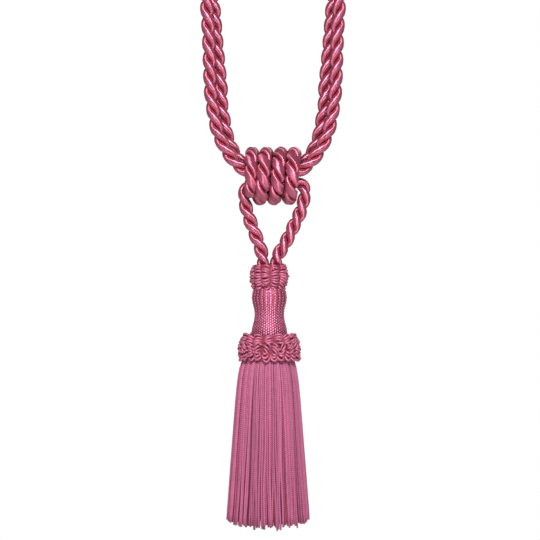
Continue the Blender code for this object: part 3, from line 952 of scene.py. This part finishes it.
def picot(tubes, chance, angle, height, radius, size, gimp):
    """A small loop of gimp that stands up out of the ruff."""
    turn = np.linspace(-0.5 * math.pi, 1.5 * math.pi, PICOT_POINTS)[1:-1]
    lean = chance.uniform(-1.5, 1.5)
    out = radius + size * (0.3 + np.sin(turn))
    aside = size * 0.7 * np.cos(turn)
    points = around(out, angle + aside * math.cos(lean) / radius, height + aside * math.sin(lean))
    shades = np.full(len(turn), PICOT_SHADE)
    yarn(tubes, points, gimp, PICOT_SIDES, shades, chance.random(), bent=True)


class TIEBACK_OT_neck_ruff(bpy.types.Operator):
    """Gathers the neck ruff: lobes of stacked gimp loops over a ring in painted shade"""
    bl_idname = "tieback.neck_ruff"
    bl_label = "Neck ruff"

    SEED = 11
    LOBES = 11
    LOOPS = 9
    PICOTS = 16
    FIRST_LOBE = math.radians(-13.6)
    # Millimetres: height of the middle loops, reach of the rest, radius of the face and of the feet
    MIDDLE = -60.6
    HALF_HEIGHT = 4.0
    FACE_RADIUS = 11.0
    FOOT_RADIUS = 7.6
    # The ring in painted shade: millimetres below the knot, radius
    CORE = ((53.3, 8.6), (54.6, 9.7), (61.0, 9.9), (66.6, 9.7), (67.6, 8.8), (67.6, 7.9), (60.0, 7.9),
            (53.3, 7.9), (53.3, 8.6))
    CORE_SIDES = 44
    # Lean of the middle loop of a front lobe, and how far the top loop leans beyond it
    FANS = {0: (0.0, -0.35), 1: (0.05, 0.35), 2: (-0.35, 0.2), 10: (0.1, 0.1)}

    def execute(self, context):
        gimp = context.scene.tieback_tassel.gimp_radius
        chance = random.Random(self.SEED)
        tubes = TubeBuilder()
        pitch = 2 * math.pi / self.LOBES
        for lobe in range(self.LOBES):
            angle = self.FIRST_LOBE + pitch * lobe + chance.uniform(-0.05, 0.05)
            loose = (chance.uniform(-0.2, 0.2), chance.uniform(-0.3, 0.3))
            tilt, fan = self.FANS.get(lobe, loose)
            droop = chance.uniform(-0.6, 0.6)
            plump = chance.uniform(10.9, 11.7)
            for k in range(self.LOOPS):
                share = 1 - 2 * k / (self.LOOPS - 1)
                height = self.MIDDLE + self.HALF_HEIGHT * share + droop + chance.uniform(-0.25, 0.25)
                swell = 1 - 0.16 * share**2
                crest = (plump * swell + chance.uniform(-0.25, 0.25)) * MM
                width = 0.45 * pitch * (1 - 0.1 * share**2) * self.FACE_RADIUS * MM
                gimp_loop(tubes, chance, angle + chance.uniform(-0.04, 0.04), height * MM,
                          (self.FOOT_RADIUS * MM * swell, crest), width,
                          (2.9 * share + chance.uniform(-0.3, 0.3)) * MM,
                          tilt + fan * share + chance.uniform(-0.1, 0.1),
                          gimp * chance.uniform(1.0, 1.2))
        for _ in range(self.PICOTS):
            height = chance.uniform(-66.0, -55.0) * MM
            picot(tubes, chance, chance.uniform(0, 2 * math.pi), height, 10.9 * MM,
                  chance.uniform(0.5, 0.75) * MM, gimp * 0.75)
        ruff = tubes.piece("gimp_neck_ruff")
        core = turned("neck_core", self.CORE, self.CORE_SIDES, True)
        finish_core(core)
        ruff = join("gimp_neck_ruff", ruff, core)
        fit(ruff, "neck_ruff", gimp_satin())
        return {"FINISHED"}


def finish_core(core):
    """Gives a core, mould or collar the full painted-shade mask, so that it takes the painted shade
    colour all over.
    """
    count = len(core.data.vertices)
    add_values(core.data, "painted_shade_mask", np.full(count, 1.0))
    add_values(core.data, "tone", np.full(count, 0.5))
    for layer in list(core.data.uv_layers):
        core.data.uv_layers.remove(layer)
    core.data.uv_layers.new(name="strand")


class TIEBACK_OT_skirt_ruff(bpy.types.Operator):
    """Gathers the skirt ruff: three tiers of curled gimp loops over a ring in painted shade"""
    bl_idname = "tieback.skirt_ruff"
    bl_label = "Skirt ruff"

    SEED = 23
    # Lobes, loops in a lobe; then for the first and the last loop of a lobe, in millimetres: place
    # below the knot, crest radius, half width, rise; and how far a lobe may lean
    TIERS = (
        (16, 4, (97.6, 100.4), (15.6, 17.5), (2.7, 2.5), (2.4, 0.8), 0.5),
        (19, 3, (101.4, 104.8), (17.8, 18.1), (2.7, 2.4), (1.3, 0.6), 1.0),
        (22, 3, (105.0, 106.4), (18.0, 18.2), (1.2, 2.5), (-1.0, -3.9), 0.15),
    )
    # A loop's feet lie this far within its crest
    LOOP_DEPTH = 2.8 * MM
    PICOTS = 45
    # Millimetres below the knot, radius: the face on which the picots stand, and the ring in painted
    # shade
    FACE = ((96.0, 14.8), (100.0, 17.1), (110.5, 17.6))
    CORE = ((95.3, 11.6), (95.6, 13.2), (97.5, 15.2), (101.0, 16.2), (107.0, 16.8), (110.4, 16.6),
            (110.6, 16.2), (105.0, 13.4), (98.4, 12.5), (95.3, 11.6))
    CORE_SIDES = 56

    def execute(self, context):
        gimp = context.scene.tieback_tassel.gimp_radius
        chance = random.Random(self.SEED)
        tubes = TubeBuilder()
        for lobes, turns, places, crests, widths, rises, leaning in self.TIERS:
            pitch = 2 * math.pi / lobes
            phase = chance.uniform(0, pitch)
            for lobe in range(lobes):
                angle = phase + pitch * (lobe + chance.uniform(-0.13, 0.13))
                lean = leaning * chance.choice((-1, 1)) * chance.uniform(0.3, 1.0)
                shift = chance.uniform(-0.5, 0.5)
                for k in range(turns):
                    share = k / (turns - 1)
                    height = -(blend(*places, share) + shift + chance.uniform(-0.3, 0.3)) * MM
                    crest = (blend(*crests, share) + chance.uniform(-0.5, 0.3)) * MM
                    rise = (blend(*rises, share) + chance.uniform(-0.3, 0.3)) * MM
                    gimp_loop(tubes, chance, angle + chance.uniform(-0.03, 0.03), height,
                              (crest - self.LOOP_DEPTH, crest), blend(*widths, share) * MM, rise,
                              lean + chance.uniform(-0.15, 0.15), gimp * chance.uniform(1.0, 1.2))
        for _ in range(self.PICOTS):
            height = chance.uniform(-109.5, -96.0)
            radius = from_table(self.FACE, -height, 1)
            picot(tubes, chance, chance.uniform(0, 2 * math.pi), height * MM, radius * MM,
                  chance.uniform(0.7, 1.2) * MM, gimp * 0.85)
        ruff = tubes.piece("gimp_skirt_ruff")
        core = turned("skirt_core", self.CORE, self.CORE_SIDES, True)
        finish_core(core)
        ruff = join("gimp_skirt_ruff", ruff, core)
        fit(ruff, "skirt_ruff", gimp_satin())
        return {"FINISHED"}


class TIEBACK_OT_head(bpy.types.Operator):
    """Turns the head's mould and covers it with upright columns of stitches"""
    bl_idname = "tieback.head"
    bl_label = "Head"

    SEED = 5
    MOULD_SIDES = 66
    # The mould lies this many millimetres under the middles of the stitches
    MOULD_DEPTH = 0.2
    HALF_THICKNESS = 0.22 * MM
    FIRST_COLUMN = math.radians(-11.0)
    LEAN = math.radians(32)

    def execute(self, context):
        settings = context.scene.tieback_tassel
        profile = tuple((below, radius - self.MOULD_DEPTH) for below, radius in HEAD_PROFILE)
        mould = turned("head_mould", profile, self.MOULD_SIDES, False)
        finish_core(mould)
        stitch_points, stitch_faces = self.one_stitch()
        rows, columns = settings.stitch_rows, settings.stitch_columns
        top, foot = HEAD_PROFILE[1][0] * MM, HEAD_PROFILE[-1][0] * MM
        tall = (foot - top) / (rows - 0.5)
        tubes = TubeBuilder()
        chance = random.Random(self.SEED)
        for column in range(columns):
            raised = column % 2 == 0
            lean = self.LEAN * (1 if (column // 2) % 2 else -1)
            angle = self.FIRST_COLUMN + 2 * math.pi * column / columns
            for row in range(rows):
                share = (row + 0.5 * (column % 2)) / (rows - 0.5)
                height = -blend(top, foot, share)
                radius = from_table(HEAD_PROFILE, -height / MM, 1) * MM
                bulb = min(1.0, max(0.0, 1.6 - 2.4 * share))
                width = 2 * math.pi * radius / columns
                if raised:
                    width *= 1.08 + 0.22 * bulb
                else:
                    width *= 1.08 - 0.33 * bulb
                sink = 0.0 if raised else (0.06 + 0.26 * bulb) * MM
                turn = lean * (1 if raised else -1) + math.radians(chance.uniform(-6, 6))
                shape = stitch_points * np.array((width * 0.5, self.HALF_THICKNESS, tall * 0.5))
                shape = shape * (1 + chance.uniform(-0.06, 0.06))
                tilted = np.column_stack((
                    shape[:, 0] * math.cos(turn) - shape[:, 2] * math.sin(turn), shape[:, 1],
                    shape[:, 0] * math.sin(turn) + shape[:, 2] * math.cos(turn)))
                place = angle + tilted[:, 0] / radius
                out = radius - sink - tilted[:, 1]
                base = len(tubes.points) * len(stitch_points)
                tubes.points.append(around(out, place, height + tilted[:, 2]))
                tubes.faces += [[index + base for index in face] for face in stitch_faces]
                # Painted shade: each stitch's inner side, and the whole of every recessed column, more
                # so on the bulb
                inner_side_shade = np.clip(1 - (-stitch_points[:, 1] + 0.2) / 0.9, 0.0, 1.0)
                shade = 0.0 if raised else 0.25 + 0.75 * bulb
                tubes.shades.append(np.clip(inner_side_shade + shade, 0.0, 1.0))
                tubes.tones.append(np.full(len(stitch_points), chance.random()))
        tubes.uvs = [np.zeros((sum(len(face) for face in tubes.faces), 2))]
        cover = join("stitched_head", tubes.piece("stitched_head"), mould)
        fit(cover, "tassel_head", head_satin())
        return {"FINISHED"}

    def one_stitch(self):
        """A single plump stitch one unit in radius: its points and faces."""
        bpy.ops.mesh.primitive_uv_sphere_add(segments=8, ring_count=6, radius=1.0)
        stitch = bpy.context.active_object
        points = np.array([tuple(vertex.co) for vertex in stitch.data.vertices])
        faces = [list(polygon.vertices) for polygon in stitch.data.polygons]
        bpy.data.objects.remove(stitch, do_unlink=True)
        return points, faces


class TIEBACK_OT_skirt(bpy.types.Operator):
    """Hangs the skirt's cut threads from their collar"""
    bl_idname = "tieback.skirt"
    bl_label = "Skirt"

    SEED = 7
    LEVELS = 22
    THREAD_SIDES = 6
    ROOT = -100.5 * MM
    # The collar, in painted shade all over: millimetres below the knot, radius
    COLLAR = ((97.6, 10.6), (104.5, 11.7), (112.0, 13.0), (150.0, 14.0))
    COLLAR_SIDES = 48
    # The lower this power, the further round from the front the threads hang as low as there
    FRONT_POWER = 0.6
    # Millimetres by which the threads' ends and depths vary
    UNEVEN_CUT = 0.9
    UNEVEN_DEPTH = 0.45
    # Radians round the tassel by which the threads bunch, wander and curl
    BUNCHING = 0.03
    WANDERING = 0.028
    CURLING = 0.02

    def execute(self, context):
        chance = random.Random(self.SEED)
        tubes = TubeBuilder()
        for number, (threads, *shares) in enumerate(THREAD_RINGS):
            for k in range(threads):
                angle = 2 * math.pi * (k + 0.5 * (number % 2) + chance.uniform(-0.3, 0.3)) / threads
                self.hang_thread(tubes, chance, number, angle, shares)
        collar = turned("skirt_collar", self.COLLAR, self.COLLAR_SIDES, False)
        finish_core(collar)
        skirt = join("skirt_threads", tubes.piece("skirt_threads"), collar)
        fit(skirt, "skirt", skirt_yarn())
        return {"FINISHED"}

    def hang_thread(self, tubes, chance, ring, angle, shares):
        """Hangs one thread of a ring from the collar down to its cut end."""
        radius = bpy.context.scene.tieback_tassel.thread_radius
        steps = np.linspace(0.0, 1.0, self.LEVELS)
        front = abs(math.cos(angle)) ** self.FRONT_POWER
        foot = blend(SIDE_THREAD_FOOT, FRONT_THREAD_FOOT, front)
        foot += chance.gauss(0.0, self.UNEVEN_CUT) * MM
        heights = blend(self.ROOT, foot, steps)
        spread = from_table(SKIRT_PROFILE, -heights / MM, 1) * MM - radius
        spread = spread * blend(*shares, steps)
        sinking = chance.gauss(0.0, self.UNEVEN_DEPTH)
        depth = sinking * MM * (0.7 + 0.7 * steps) * (steps > 0.08)
        bunch = self.BUNCHING * math.sin(angle * 13 + ring) + self.BUNCHING * math.sin(angle * 29 + ring)
        bunch = bunch * steps**1.5
        wander = chance.gauss(0.0, self.WANDERING) * steps**1.3
        curl = np.sin(steps * chance.uniform(4, 13) + chance.uniform(0, 6))
        curl = self.CURLING * curl * steps**0.7
        points = around(spread + depth, angle + bunch + wander + curl, heights)
        points[:, 0] -= SKIRT_LEAN * np.minimum(1.0, 8 * steps)
        size = radius * chance.uniform(0.9, 1.12) * (0.88 + 0.14 * steps)
        size[-1] *= 0.85
        # Painted shade: threads of the inner rings and threads set deeper inward are darker, with a
        # little random variation, and each thread darkens towards its cut end
        shade = min(1.0, max(0.0, 0.3 * ring - 0.35 * sinking + chance.gauss(0.0, 0.06)))
        shades = np.clip(shade + 0.22 * steps, 0.0, 1.0)
        yarn(tubes, points, size, self.THREAD_SIDES, shades, chance.random())


class TIEBACK_PT_panel(bpy.types.Panel):
    """Lists the pieces of the tieback"""
    bl_idname = "TIEBACK_PT_panel"
    bl_label = "Curtain tieback"
    bl_space_type = "VIEW_3D"
    bl_region_type = "UI"
    bl_category = "Tieback"

    def draw(self, context):
        for operator in OPERATORS:
            self.layout.operator(operator.bl_idname)


OPERATORS = (
    TIEBACK_OT_stage,
    TIEBACK_OT_embrace,
    TIEBACK_OT_hanger,
    TIEBACK_OT_binding,
    TIEBACK_OT_neck_ruff,
    TIEBACK_OT_head,
    TIEBACK_OT_skirt_ruff,
    TIEBACK_OT_skirt,
)
CLASSES = (TiebackCords, TiebackTassel, TiebackStage, TIEBACK_PT_panel) + OPERATORS


def register():
    for kind in CLASSES:
        bpy.utils.register_class(kind)
    bpy.types.Scene.tieback_cords = PointerProperty(type=TiebackCords)
    bpy.types.Scene.tieback_tassel = PointerProperty(type=TiebackTassel)
    bpy.types.Scene.tieback_stage = PointerProperty(type=TiebackStage)


def unregister():
    del bpy.types.Scene.tieback_stage
    del bpy.types.Scene.tieback_tassel
    del bpy.types.Scene.tieback_cords
    for kind in reversed(CLASSES):
        bpy.utils.unregister_class(kind)


def main():
    register()
    bpy.ops.object.select_all(action="DESELECT")
    for step in (bpy.ops.tieback.stage, bpy.ops.tieback.embrace, bpy.ops.tieback.hanger,
                 bpy.ops.tieback.binding, bpy.ops.tieback.neck_ruff, bpy.ops.tieback.head,
                 bpy.ops.tieback.skirt_ruff, bpy.ops.tieback.skirt):
        step()


if __name__ == "__main__":
    main()
